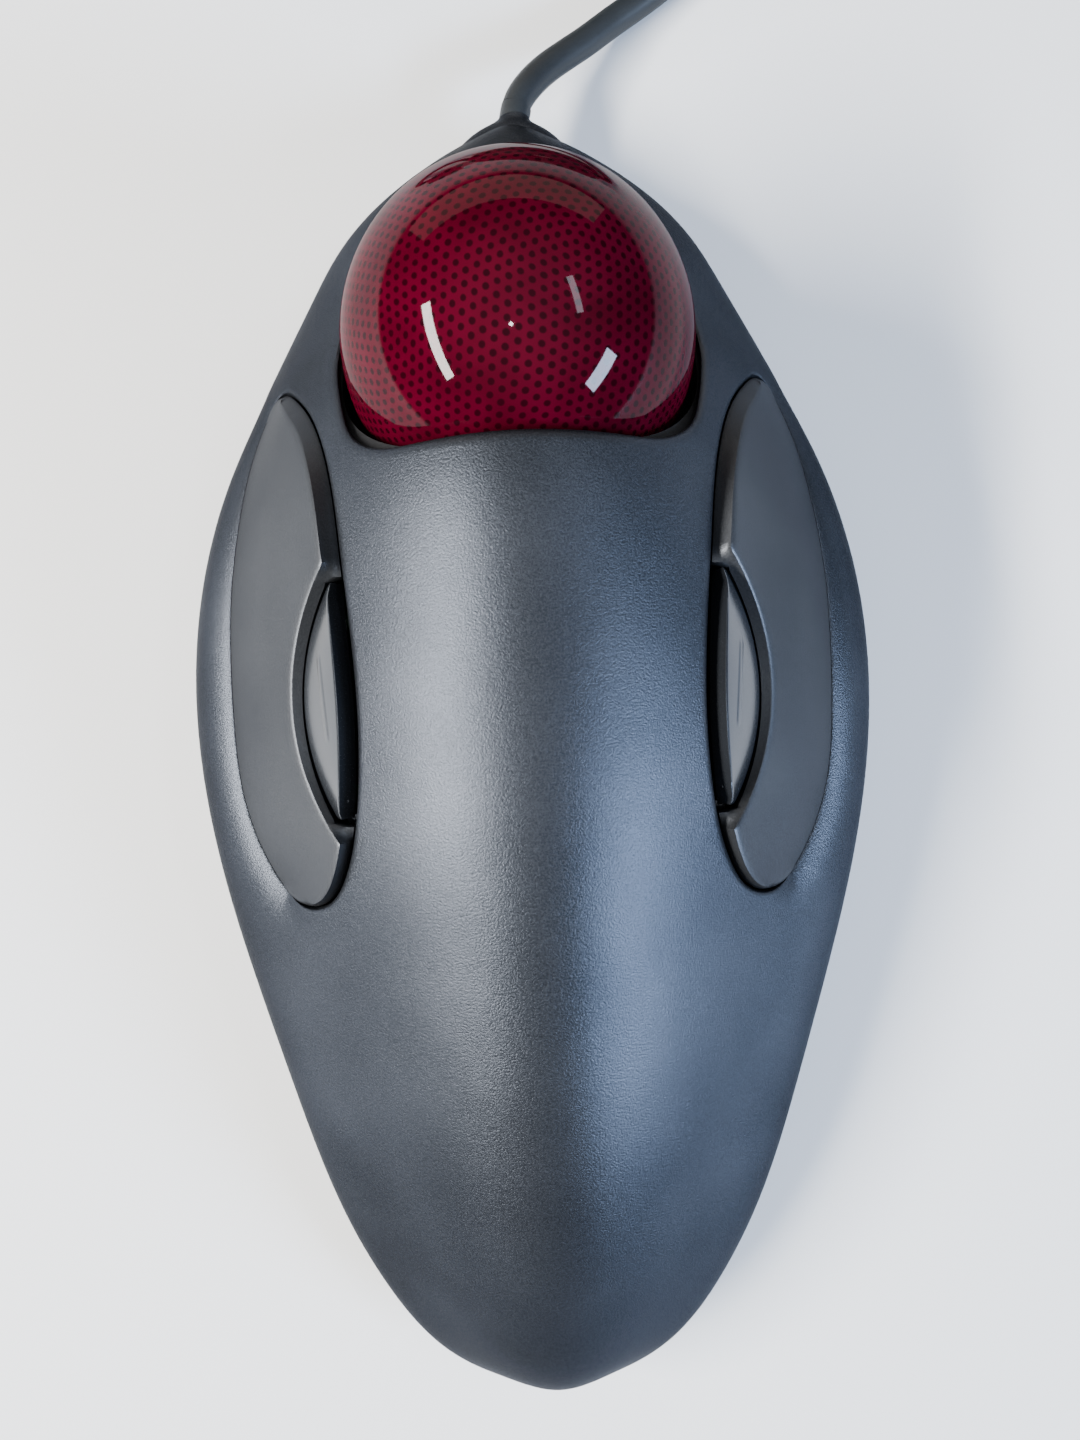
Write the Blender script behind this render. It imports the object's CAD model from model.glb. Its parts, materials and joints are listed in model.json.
"""Looks of a corded trackball mouse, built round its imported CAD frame.

Sizes are in millimetres until a mesh is made. X runs to the user's right, Y towards the nose
and Z up, with the origin on the desk under the middle of the casing.
"""
import json
import math

import bmesh
import bpy
import numpy as np
from mathutils.geometry import delaunay_2d_cdt
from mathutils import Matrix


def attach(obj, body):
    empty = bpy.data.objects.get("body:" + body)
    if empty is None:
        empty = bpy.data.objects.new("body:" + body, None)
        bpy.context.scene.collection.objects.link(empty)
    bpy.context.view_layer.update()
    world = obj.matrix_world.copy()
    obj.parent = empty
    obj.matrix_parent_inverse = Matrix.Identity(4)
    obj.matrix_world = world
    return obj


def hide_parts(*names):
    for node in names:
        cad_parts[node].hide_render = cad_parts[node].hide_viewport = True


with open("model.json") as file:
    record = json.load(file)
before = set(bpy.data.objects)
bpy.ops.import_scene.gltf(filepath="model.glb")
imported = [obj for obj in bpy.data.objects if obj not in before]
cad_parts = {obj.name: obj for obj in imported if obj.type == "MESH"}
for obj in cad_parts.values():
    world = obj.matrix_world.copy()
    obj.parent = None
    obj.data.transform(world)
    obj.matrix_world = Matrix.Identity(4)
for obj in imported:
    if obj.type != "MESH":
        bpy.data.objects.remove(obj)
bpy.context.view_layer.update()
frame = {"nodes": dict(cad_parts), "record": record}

MM = 0.001
SHARP_ANGLE = math.radians(38.0)

# Camera
CAMERA_AT = (0.8, 4.6, 145.0)
CAMERA_TURN = -0.039            # radians about the vertical
CAMERA_LENS = 26.0
CAMERA_SENSOR = 36.0

# Casing
HALF_LENGTH = 82.0
PARTING_Z = 8.0
HALF_SEAM = 0.15
WALL = 2.0
WIDTH_KNOTS = [(-1.0, 47.0), (-0.9, 42.0), (-0.75, 39.4), (-0.5, 38.8), (-0.2, 41.6), (0.1, 44.3),
               (0.45, 43.2), (0.75, 39.9), (0.9, 38.2), (1.0, 30.0)]
CROWN_KNOTS = [(-1.0, 26.0), (-0.6, 30.2), (-0.25, 32.5), (0.0, 34.5), (0.25, 36.9),
               (0.42, 38.6), (0.58, 35.6), (0.82, 26.0), (1.0, 24.0)]
SECTION_POWER, SECTION_SQUARE, SECTION_FOURTH = 0.6, -0.87, 0.51
NOSE_HOLE_RADIUS = 2.75
POST_RADIUS = 3.0
BORE_RADIUS = 1.35
POST_FOOT_Z = 5.8
SCREWS = [(14.0, -58.0), (19.5, 60.0)]
BOARD_SCREWS = [(0.0, -34.0), (0.0, 6.0)]
FEET = [(15.0, -42.0), (23.0, 40.0)]
LABEL_SEAT = (0.0, -4.0, 19.0, 26.0, 3.0)       # centre X, Y, half sizes, corner
BASE_Z = 1.0
FOOT_POCKET = (6.3, 1.6)        # radius and ceiling of a pocket in the underside
SCREW_POCKET = (2.95, 2.1)
LABEL_CEILING = 1.5

# Ball and socket
BALL_CENTRE = np.array((0.0, 47.6, 26.5))
BALL_RADIUS = 20.0
SOCKET_RADIUS = 21.0
SOCKET_WALL = 1.4
SKIRT_FOOT_Z = 16.8
LIP_Y = 33.4
LIP_HALF_WIDTH = 13.5
LIP_CORNER_RADIUS = 7.0
OPENING_RADIUS = 21.2
DOTS_PER_EDGE = 19              # along each edge of the icosahedron behind the ball's pattern

# Buttons, right side: (Y, inner edge X, outer edge X) of the opening
OPENING_STATIONS = [(-16.3, 26.6, 26.6), (-14.9, 23.3, 29.9), (-11.8, 21.3, 32.4),
                    (-8.0, 20.0, 34.4), (-2.0, 19.0, 36.1), (6.0, 18.6, 36.7),
                    (14.0, 19.0, 36.8), (22.0, 19.8, 36.5), (30.0, 20.8, 35.5),
                    (36.0, 22.3, 34.5), (41.0, 24.5, 33.2), (44.5, 27.0, 31.7),
                    (46.2, 29.3, 29.3)]
# Inset of the large button's top along the opening's inner side: (place, inset)
TOP_INSETS = [(0.0, 0.8), (0.1, 1.05), (0.3, 1.35), (0.6, 2.0), (0.85, 2.2), (0.95, 1.7),
              (1.0, 0.9)]
TOP_TIP_INSET = 0.8
FOOT_GAP = 0.3
OUTER_GAP = 0.1
TIP_SHARE = 0.13                # of the opening's length, in which a tip turns into the outer side
BUTTON_RAISE = 2.8
BUTTON_THICK = 2.2
INNER_EXTRA_THICK = 3.2
WALL_DEPTH = 0.9                # of the button's wall below the casing's surface
NOTCH_CENTRE = (2.7, 7.4)
NOTCH_RADIUS = 24.1
NOTCH_BEVEL = 0.3               # fall of the bevel that faces the small button
MOTION_GAP = 0.26               # between the two buttons
SWING_SHIFT = 0.17              # of the notch's wall toward the rear, for the large button's swing
CRISP_EDGE = (0.8, 0.32)        # width and fall of a rounded edge
SOFT_EDGE = (5.5, 1.5)
VALLEY = (4.5, 1.55)            # the casing's own fall along the outer side of the opening
SMALL_CENTRE = (2.0, 7.2)
SMALL_RADIUS = 23.5
SMALL_Y = (-5.4, 20.2)
SMALL_GAP = 0.6
SMALL_DRAFT = 1.3
SMALL_RAISE = (2.3, -0.25)
SMALL_THICK = 3.4
MAIN_PIVOT = (25.5, -20.0, 15.5)
SMALL_PIVOT = (21.0, -12.0, 25.0)
PIN_RADIUS = 1.1
PIN_HOLE_RADIUS = 1.45
LUG_RADIUS = 2.6
MAIN_SWITCH = (31.0, 14.0)
SMALL_SWITCH = (23.4, 4.0)
PLUNGER_GAP_Z = 19.5            # the ribs over the switches end here

# Cable
CORD_RADIUS = 1.9
LEAD_ROUTE = [(0.7, 85.2, 8.0), (1.2, 86.4, 7.9), (2.2, 88.0, 7.6), (3.7, 89.9, 7.0),
              (5.5, 91.8, 6.2), (7.8, 93.8, 5.3), (10.7, 96.2, 4.3), (14.4, 99.4, 3.2),
              (18.9, 102.8, 2.4), (24.2, 106.8, 2.1), (29.8, 110.8, 2.1), (34.8, 115.2, 2.1),
              (38.5, 120.2, 2.1), (40.3, 124.4, 2.1)]
TAIL_ROUTE = [(-16.5, 124.8, 5.6), (-16.6, 123.4, 5.4), (-17.9, 118.8, 4.5), (-21.7, 114.9, 3.4),
              (-26.9, 113.5, 2.7), (-32.1, 114.9, 2.6), (-36.0, 118.7, 3.1), (-37.4, 124.0, 3.8),
              (-37.4, 128.0, 4.2), (-37.4, 131.6, 4.2)]
COIL_CENTRE = (12.0, 140.0)
COIL_INNER_TURN = 16.0
TURN_PITCH = 4.1
LAYER_Z = 2.5
LAYER_PITCH = 4.0
# (column from the inside, layer from the desk) of each turn, in the order it is wound
WINDING = [(3, 0), (2, 0), (1, 0), (0, 0), (0, 1), (0, 2), (1, 2), (1, 1), (2, 1), (2, 2),
           (3, 2), (3, 1)]
POINTS_PER_TURN = 24
CROSSING_SHARE = 0.22           # of a turn, spent moving over to the next place
PLUG_AXIS = (-37.4, 4.2)
PLUG_START_Y = 131.9


# ---- camera

def add_object(name, data):
    thing = bpy.data.objects.new(name, data)
    bpy.context.scene.collection.objects.link(thing)
    return thing


def make_camera():
    data = bpy.data.cameras.new("camera")
    data.lens = CAMERA_LENS
    data.sensor_width = CAMERA_SENSOR
    data.clip_start = 0.01
    camera = add_object("camera", data)
    camera.location = [v * MM for v in CAMERA_AT]
    camera.rotation_euler = (0.0, 0.0, CAMERA_TURN)
    bpy.context.scene.camera = camera


make_camera()


# ---- meshes

def mesh_object(name, parts):
    """One object from closed parts, each (points in millimetres, faces), with outward faces."""
    whole = bmesh.new()
    for points, faces in parts:
        part = bmesh.new()
        corners = [part.verts.new([c * MM for c in p]) for p in points]
        for face in faces:
            part.faces.new([corners[i] for i in face])
        bmesh.ops.recalc_face_normals(part, faces=part.faces)
        part_mesh = bpy.data.meshes.new("part")
        part.to_mesh(part_mesh)
        part.free()
        whole.from_mesh(part_mesh)
        bpy.data.meshes.remove(part_mesh)
    mesh = bpy.data.meshes.new(name)
    whole.to_mesh(mesh)
    whole.free()
    mesh.shade_smooth()
    mesh.set_sharp_from_angle(angle=SHARP_ANGLE)
    return add_object(name, mesh)


def loft(loops, closed_ends=True):
    """Closed part through loops of equal count."""
    count = len(loops[0])
    points = [tuple(p) for loop in loops for p in loop]
    faces = []
    if closed_ends:
        faces += [list(range(count)), [len(points) - count + i for i in range(count)]]
    levels = len(loops) - 1 if closed_ends else len(loops)
    for level in range(levels):
        low, high = level * count, ((level + 1) % len(loops)) * count
        for i in range(count):
            j = (i + 1) % count
            faces.append([low + i, low + j, high + j, high + i])
    return points, faces


def ring(centre, axis, radius, segments):
    """Circle of points about an axis given as 0, 1 or 2 for X, Y or Z."""
    turns = 2.0 * math.pi * np.arange(segments) / segments
    points = np.tile(np.array(centre, float), (segments, 1))
    points[:, (axis + 1) % 3] += radius * np.cos(turns)
    points[:, (axis + 2) % 3] += radius * np.sin(turns)
    return points


def turned(centre, axis, profile, segments=48, closed_ends=True):
    """Part turned about an axis through centre; profile lists (place along it, radius)."""
    loops = []
    for along, radius in profile:
        middle = list(centre)
        middle[axis] = along
        loops.append(ring(middle, axis, radius, segments))
    return loft(loops, closed_ends)


def side_plate(outline, low, high):
    """Outline in Y and Z, as a plate from X low to X high."""
    return loft([[(x, y, z) for y, z in outline] for x in (low, high)])


def upright_box(centre, half, low, high):
    (x, y), (hx, hy) = centre, half
    corners = [(x - hx, y - hy), (x + hx, y - hy), (x + hx, y + hy), (x - hx, y + hy)]
    return loft([[(px, py, z) for px, py in corners] for z in (low, high)])


def at_height(plan, z):
    return np.column_stack([plan, np.full(len(plan), z)])


def on_side(part, side):
    """The part itself on the right, or its mirror image on the left."""
    points, faces = part
    return [(side * x, y, z) for x, y, z in points], faces


def ease(share):
    """Share from 0 to 1 with a gentle start and stop."""
    return share * share * (3.0 - 2.0 * share)


# ---- cable

def smooth_path(points, per_span):
    """Dense points on a smooth curve through the given ones."""
    points = np.array(points, float)
    padded = np.vstack([2 * points[0] - points[1], points, 2 * points[-1] - points[-2]])
    a, b, c, d = padded[:-3], padded[1:-2], padded[2:-1], padded[3:]
    dense = []
    for t in np.arange(per_span) / per_span:
        dense.append(0.5 * (2 * b + (c - a) * t + (2 * a - 5 * b + 4 * c - d) * t ** 2
                            + (3 * b - a - 3 * c + d) * t ** 3))
    return np.vstack([np.stack(dense, axis=1).reshape(-1, 3), points[-1]])


def coil_points():
    """The wound turns, counter-clockwise from the right, up to the left of the last one."""
    places = [(COIL_INNER_TURN + column * TURN_PITCH, LAYER_Z + layer * LAYER_PITCH)
              for column, layer in WINDING]
    points = []
    for number, (radius, height) in enumerate(places):
        last = number == len(places) - 1
        steps = POINTS_PER_TURN // 2 + 1 if last else POINTS_PER_TURN
        for i in range(steps):
            share = i / POINTS_PER_TURN
            over = 0.0 if last else max(0.0, (share - 1.0 + CROSSING_SHARE) / CROSSING_SHARE)
            over = ease(over)
            next_radius, next_height = places[min(number + 1, len(places) - 1)]
            r = radius + (next_radius - radius) * over
            z = height + (next_height - height) * over
            turn = 2.0 * math.pi * share
            points.append((COIL_CENTRE[0] + r * math.cos(turn),
                           COIL_CENTRE[1] + r * math.sin(turn), z))
    return points


def cable():
    """The whole cable on one open line: lead, coil and tail."""
    path = smooth_path(LEAD_ROUTE + coil_points() + TAIL_ROUTE, 4)
    curve = bpy.data.curves.new("cable", "CURVE")
    curve.dimensions = "3D"
    curve.bevel_depth = CORD_RADIUS * MM
    curve.bevel_resolution = 5
    curve.use_fill_caps = True
    line = curve.splines.new("POLY")
    line.points.add(len(path) - 1)
    for target, (x, y, z) in zip(line.points, path):
        target.co = (x * MM, y * MM, z * MM, 1.0)
    return add_object("cable", curve)


def coil_tie():
    """Strap round the wound turns on the side away from the casing."""
    slack, thickness, corner, half_width_tie, rows = 0.08, 0.45, 2.4, 4.0, 9
    middle = COIL_INNER_TURN + 1.5 * TURN_PITCH
    half_r = 1.5 * TURN_PITCH + CORD_RADIUS + slack
    low, high = LAYER_Z - CORD_RADIUS - slack, LAYER_Z + 2 * LAYER_PITCH + CORD_RADIUS + slack
    half_z, mid_z = (high - low) / 2, (high + low) / 2
    inners, outers = [], []
    for k in range(rows):
        across = (k / (rows - 1) - 0.5) * 2.0
        thinning = 0.16 * across ** 8
        turn = math.radians(62.0) + across * half_width_tie / middle
        for loops, grow, round_grow in ((inners, thinning, 0.0),
                                        (outers, thickness - thinning, thickness - thinning)):
            loops.append([(COIL_CENTRE[0] + (middle + r) * math.cos(turn),
                           COIL_CENTRE[1] + (middle + r) * math.sin(turn), mid_z + z)
                          for r, z in rounded_loop(half_r + grow, half_z + grow,
                                                   corner + round_grow, 6)])
    return loft(outers + inners[::-1], closed_ends=False)


def rounded_loop(half_a, half_b, corner, steps):
    """Rounded rectangle as (a, b) offsets from its centre."""
    points = []
    for quarter, (sa, sb) in enumerate(((1, 1), (-1, 1), (-1, -1), (1, -1))):
        for i in range(steps + 1):
            turn = math.pi / 2 * (quarter + i / steps)
            points.append((sa * (half_a - corner) + corner * math.cos(turn),
                           sb * (half_b - corner) + corner * math.sin(turn)))
    return points


# ---- surfaces of the casing

def spline(knots):
    """Natural cubic spline through (position, value) knots, for numbers or arrays."""
    xs, ys = np.array(knots, dtype=float).T
    gaps = np.diff(xs)
    system = np.eye(len(xs))
    turns = np.zeros(len(xs))
    for i in range(1, len(xs) - 1):
        system[i, i - 1:i + 2] = gaps[i - 1], 2.0 * (gaps[i - 1] + gaps[i]), gaps[i]
        turns[i] = 6.0 * ((ys[i + 1] - ys[i]) / gaps[i] - (ys[i] - ys[i - 1]) / gaps[i - 1])
    bend = np.linalg.solve(system, turns)

    def value(x):
        x = np.clip(x, xs[0], xs[-1])
        i = np.clip(np.searchsorted(xs, x) - 1, 0, len(gaps) - 1)
        after, before, gap = x - xs[i], xs[i + 1] - x, gaps[i]
        return ((bend[i] * before ** 3 + bend[i + 1] * after ** 3) / (6.0 * gap)
                + (ys[i] / gap - bend[i] * gap / 6.0) * before
                + (ys[i + 1] / gap - bend[i + 1] * gap / 6.0) * after)
    return value


width_curve = spline(WIDTH_KNOTS)
crown_curve = spline(CROWN_KNOTS)


def end_rounding(y):
    return np.sqrt(np.clip(1.0 - (y / HALF_LENGTH) ** 2, 0.0, None))


def half_width(y):
    return end_rounding(y) * width_curve(y / HALF_LENGTH)


def section(across):
    across = np.clip(across, 0.0, 1.0)
    bow = 1.0 + SECTION_SQUARE * across + SECTION_FOURTH * across * across
    return (1.0 - across) ** SECTION_POWER * bow


def dome(x, y):
    """Height of the casing's outer surface."""
    width = np.maximum(half_width(y), 1e-6)
    rise = end_rounding(y) * crown_curve(y / HALF_LENGTH)
    return PARTING_Z + rise * section((x / width) ** 2)


def dome_point(flat):
    """Points on the dome for flattened coordinates: arc across, arc along."""
    y = HALF_LENGTH * np.sin(np.clip(flat[:, 1] / HALF_LENGTH, -math.pi / 2, math.pi / 2))
    width = np.maximum(half_width(y), 1e-6)
    lean = np.clip(flat[:, 0] / width, -math.pi / 2, math.pi / 2)
    x = width * np.sin(lean)
    return np.stack([x, y, dome(x, y)], axis=1)


def flatten(plan):
    """Flattened coordinates of plan points that lie within the casing's outline."""
    plan = np.array(plan, float)
    width = half_width(plan[:, 1])
    lean = np.arcsin(np.clip(plan[:, 0] / width, -1.0, 1.0))
    return np.stack([lean * width, HALF_LENGTH * np.arcsin(plan[:, 1] / HALF_LENGTH)], axis=1)


def dome_normals(flat):
    step = 0.05
    along_u = dome_point(flat + (step, 0.0)) - dome_point(flat - (step, 0.0))
    along_v = dome_point(flat + (0.0, step)) - dome_point(flat - (0.0, step))
    normal = np.cross(along_u, along_v)
    size = np.linalg.norm(normal, axis=1, keepdims=True)
    fallback = np.stack([np.sign(flat[:, 0]), np.zeros(len(flat)), np.zeros(len(flat))], axis=1)
    return np.where(size > 1e-7, normal / np.maximum(size, 1e-7), fallback)


def casing_outline(inset, count):
    """Plan outline of the casing, counter-clockwise from the nose, moved in by inset."""
    turn = 2.0 * math.pi * np.arange(count) / count

    def at(angle):
        y = HALF_LENGTH * np.cos(angle)
        side = np.where(np.sin(angle) >= 0.0, -1.0, 1.0)
        return np.stack([side * half_width(y), y], axis=1)
    along = at(turn + 0.01) - at(turn - 0.01)
    inward = np.stack([-along[:, 1], along[:, 0]], axis=1)
    inward /= np.linalg.norm(inward, axis=1, keepdims=True)
    return at(turn) + inset * inward


OPENING_LOW, OPENING_HIGH = OPENING_STATIONS[0][0], OPENING_STATIONS[-1][0]


def station_position(y):
    share = np.clip((y - OPENING_LOW) / (OPENING_HIGH - OPENING_LOW), 0.0, 1.0)
    return np.arccos(1.0 - 2.0 * share) / math.pi


def station_y(position):
    return OPENING_LOW + (OPENING_HIGH - OPENING_LOW) * (1.0 - np.cos(math.pi * position)) / 2.0


inner_curve = spline([(float(station_position(y)), inner) for y, inner, outer in OPENING_STATIONS])
outer_curve = spline([(float(station_position(y)), outer) for y, inner, outer in OPENING_STATIONS])


def offset_loop(points, distance):
    """Closed counter-clockwise outline moved outwards by a distance."""
    along = np.roll(points, -1, axis=0) - np.roll(points, 1, axis=0)
    outward = np.stack([along[:, 1], -along[:, 0]], axis=1)
    outward /= np.linalg.norm(outward, axis=1, keepdims=True)
    return points + np.reshape(distance, (-1, 1)) * outward


def button_opening(inset=0.0, count=110):
    """Plan outline of the right opening, counter-clockwise: up the outer edge, down the inner."""
    up = [(outer_curve(i / count), station_y(i / count)) for i in range(count + 1)]
    down = [(inner_curve(i / count), station_y(i / count)) for i in range(count - 1, 0, -1)]
    return offset_loop(np.array(up + down, float), -inset)


def ball_opening():
    """Plan outline of the ball's opening: a circle whose rear is squared off to the lip."""
    front = np.radians(np.arange(-10.0, 190.1, 2.5))
    corner = np.radians(np.arange(15.0, 90.1, 7.5))
    circle = np.stack([OPENING_RADIUS * np.cos(front),
                       BALL_CENTRE[1] + OPENING_RADIUS * np.sin(front)], axis=1)
    corner_x = LIP_HALF_WIDTH + LIP_CORNER_RADIUS * np.cos(corner) - 0.6
    corner_y = LIP_Y + LIP_CORNER_RADIUS * (1.0 - np.sin(corner))
    left = np.stack([-corner_x, corner_y], axis=1)
    lip = np.stack([np.linspace(left[-1, 0], -left[-1, 0], 14)[1:-1], np.full(12, LIP_Y)], axis=1)
    right = left[::-1] * (-1.0, 1.0)
    rough = np.vstack([circle, left, lip, right])
    for _ in range(3):
        rough = (np.roll(rough, 1, axis=0) + 2.0 * rough + np.roll(rough, -1, axis=0)) / 4.0
    return rough


def inside_loop(points, loop):
    """Which points lie inside a closed outline."""
    x, y = points[:, 0][:, None], points[:, 1][:, None]
    (x0, y0), (x1, y1) = loop.T, np.roll(loop, -1, axis=0).T
    crosses = (y0 > y) != (y1 > y)
    with np.errstate(divide="ignore", invalid="ignore"):
        hit = x < (x1 - x0) * (y - y0) / (y1 - y0) + x0
    return (crosses & hit).sum(axis=1) % 2 == 1


def loop_distance(points, loop, closed=True):
    """Distance from each point to an outline."""
    start = loop if closed else loop[:-1]
    end = np.roll(loop, -1, axis=0) if closed else loop[1:]
    best = np.full(len(points), np.inf)
    for a, b in zip(start, end):
        span = b - a
        length = max(float(span @ span), 1e-12)
        share = np.clip((points - a) @ span / length, 0.0, 1.0)
        best = np.minimum(best, np.linalg.norm(points - a - share[:, None] * span, axis=1))
    return best


ROUND_STEPS = np.radians((0.0, 22.5, 45.0, 67.5, 90.0))


def edge_places(radius):
    """Distances from an edge at which its rounding is drawn."""
    return radius * (1.0 - np.cos(ROUND_STEPS))


def soft_drop(distance, edge):
    """Fall of a softly rounded edge, given as its width and its fall at the very edge."""
    width, fall = edge
    return fall * np.clip(1.0 - distance / width, 0.0, 1.0) ** 2


def valley_distance(plan):
    """Distance from plan points to the outer side of the button opening on their flank."""
    shares = np.linspace(0.1, 0.9, 60)
    line = np.stack([outer_curve(shares), station_y(shares)], axis=1)
    return loop_distance(np.column_stack([np.abs(plan[:, 0]), plan[:, 1]]), line, closed=False)


def rounding_drop(distance, radius):
    """How far a rounded edge falls below its surface at a distance from the edge."""
    short = np.clip(radius - distance, 0.0, radius)
    return radius - np.sqrt(np.maximum(radius ** 2 - short ** 2, 0.0))


# ---- upper casing

LATTICE = 1.5
LIP_ROUNDING = 1.2
OPENING_ROUNDING = 0.5
RIM_ROUNDING = 0.35
EDGE_REACH = 3.0                # from an opening, within which the shell's wall turns upright
STEEPEST = 0.45                 # upward share of the normal, below which the wall grows no more
THINNEST = 0.3
BALL_SIDE_GAP = 0.05            # between the shell's inside and the socket


def casing_border(count=300):
    """Flattened outline of the dome: both long edges, and the arc of the nose hole."""
    rear = -math.pi / 2 + 0.004
    reach = np.linspace(rear, math.pi / 2, count)
    width_at = half_width(HALF_LENGTH * np.sin(reach))
    stop = reach[(width_at > NOSE_HOLE_RADIUS) | (reach < 0.0)][-1]
    edge = np.linspace(rear, stop, count)
    width = half_width(HALF_LENGTH * np.sin(edge))
    right = np.stack([width * math.pi / 2, HALF_LENGTH * edge], axis=1)
    arc = []
    for lean in np.radians(np.linspace(84.0, -84.0, 25)):
        low, high = 1.2, math.pi / 2
        for _ in range(40):
            middle = (low + high) / 2
            y = HALF_LENGTH * math.sin(middle)
            across = half_width(y) * math.sin(lean)
            rise = dome(across, y) - PARTING_Z
            if math.hypot(across, rise) > NOSE_HOLE_RADIUS:
                low = middle
            else:
                high = middle
        arc.append((half_width(HALF_LENGTH * math.sin(low)) * lean, HALF_LENGTH * low))
    left = right[::-1] * (-1.0, 1.0)
    return np.vstack([right, arc, left]), len(right), len(arc)


def upper_casing_parts():
    """Shell with the ball's and the buttons' openings, its screw posts and hinge lugs."""
    border, side_count, arc_count = casing_border()
    loops = [(ball_opening(), LIP_ROUNDING)]
    right = button_opening()
    loops += [(right, OPENING_ROUNDING), (right[::-1] * (-1.0, 1.0), OPENING_ROUNDING)]
    place_on_edge = station_position(right[:, 1])
    middle = (inner_curve(place_on_edge) + outer_curve(place_on_edge)) / 2.0
    outer_side = np.clip(right[:, 0] - middle, 0.0, EDGE_REACH)
    roundness = 1.0 - 0.9 * outer_side / EDGE_REACH
    shares = [np.ones(len(loops[0][0])), roundness, roundness[::-1]]
    points, edges, fall, marks = [border], [], [np.zeros(len(border))], {}
    near = [np.full(len(border), 3.0 * EDGE_REACH)]
    count = len(border)
    edges += [(i, (i + 1) % count) for i in range(count)]
    marks["border"] = list(range(count))
    for number, (loop, radius) in enumerate(loops):
        extra = np.array((radius + 0.35, radius + 0.8))
        for distance in np.concatenate([edge_places(radius), extra]):
            ring_plan = offset_loop(loop, distance)
            points.append(flatten(ring_plan))
            fall.append(shares[number] * rounding_drop(np.array([distance]), radius)[0])
            near.append(np.full(len(loop), distance))
            if distance == 0.0:
                marks[number] = list(range(count, count + len(loop)))
                edges += [(count + i, count + (i + 1) % len(loop)) for i in range(len(loop))]
            count += len(loop)
    points.append(lattice_points(loops))
    fall.append(np.zeros(len(points[-1])))
    plan = dome_point(points[-1])[:, :2]
    near.append(np.min([loop_distance(plan, loop) for loop, radius in loops], axis=0))
    flat, fall, near = np.vstack(points), np.concatenate(fall), np.concatenate(near)
    triangles = triangulate(flat, edges)
    middles = flat[triangles].mean(axis=1)
    keep = inside_loop(middles, border)
    for loop, radius in loops:
        keep &= ~inside_loop(middles, flatten(loop))
    triangles = triangles[keep]
    return [closed_shell(flat, triangles, fall, near, marks, side_count, arc_count)] \
        + casing_posts() + casing_lugs()


def lattice_points(loops):
    """Even points over the flattened dome that stay clear of its edges and openings."""
    rows = []
    limit = HALF_LENGTH * math.pi / 2
    pitch = LATTICE * math.sqrt(3.0) / 2.0
    for number, v in enumerate(np.arange(-limit + 1.0, limit - 1.0, pitch)):
        reach = half_width(HALF_LENGTH * math.sin(v / HALF_LENGTH)) * math.pi / 2 - 0.7
        if reach <= 0.0:
            continue
        u = np.arange(-60, 61) * LATTICE + (LATTICE / 2 if number % 2 else 0.0)
        u = u[np.abs(u) < reach]
        rows.append(np.stack([u, np.full(len(u), v)], axis=1))
    flat = np.vstack(rows)
    solid = dome_point(flat)
    clear = np.hypot(solid[:, 0], solid[:, 2] - PARTING_Z) > NOSE_HOLE_RADIUS + 0.8
    clear |= solid[:, 1] < 70.0
    flat, solid = flat[clear], solid[clear]
    for loop, radius in loops:
        outer = offset_loop(loop, radius + 1.3)
        out = ~inside_loop(solid[:, :2], outer)
        flat, solid = flat[out], solid[out]
    return flat


def triangulate(flat, edges):
    """Triangles over all the points that keep the given edges."""
    result = delaunay_2d_cdt([tuple(p) for p in flat], edges, [], 0, 1e-6)
    origin = [source[0] if source else -1 for source in result[3]]
    triangles = [[origin[i] for i in face] for face in result[2]]
    return np.array([t for t in triangles if min(t) >= 0 and len(set(t)) == 3])


def closed_shell(flat, triangles, fall, near, marks, side_count, arc_count):
    """Outer and inner surface of the dome, joined round the rim and every opening."""
    surface = dome_point(flat)
    normal = dome_normals(flat)
    outer = surface.copy()
    outer[:, 2] -= fall + soft_drop(valley_distance(surface[:, :2]), VALLEY)
    floor = PARTING_Z + HALF_SEAM
    outer[:, 2] = np.maximum(outer[:, 2], floor + RIM_ROUNDING)
    lean = np.clip(near / EDGE_REACH, 0.0, 1.0)[:, None]
    upright = np.zeros_like(surface)
    upright[:, 2] = -WALL / np.maximum(normal[:, 2], STEEPEST)
    inner = surface + lean * (-WALL * normal) + (1.0 - lean) * upright
    from_ball = inner - BALL_CENTRE
    range_ball = np.linalg.norm(from_ball, axis=1, keepdims=True)
    nearest = SOCKET_RADIUS + BALL_SIDE_GAP
    inner = np.where(range_ball < nearest, BALL_CENTRE + from_ball * nearest / range_ball, inner)
    inner[:, 2] = np.maximum(inner[:, 2], floor + RIM_ROUNDING)
    inner[:, 2] = np.minimum(inner[:, 2], outer[:, 2] - THINNEST * (surface[:, 2] > floor + 3.0))
    count = len(flat)
    faces = [list(t) for t in triangles] + [[a + count, c + count, b + count]
                                            for a, b, c in triangles]
    points = [outer, inner]
    total = 2 * count
    for name, loop in marks.items():
        steps = []
        if name == "border":
            steps = rim_steps(outer[loop], inner[loop], normal[loop], floor, side_count, arc_count)
        chain = [list(loop)]
        for step in steps:
            points.append(step)
            chain.append(list(range(total, total + len(step))))
            total += len(step)
        chain.append([i + count for i in loop])
        for low, high in zip(chain, chain[1:]):
            for i in range(len(loop)):
                j = (i + 1) % len(loop)
                faces.append([low[i], low[j], high[j], high[i]])
    return np.vstack(points), faces


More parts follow.
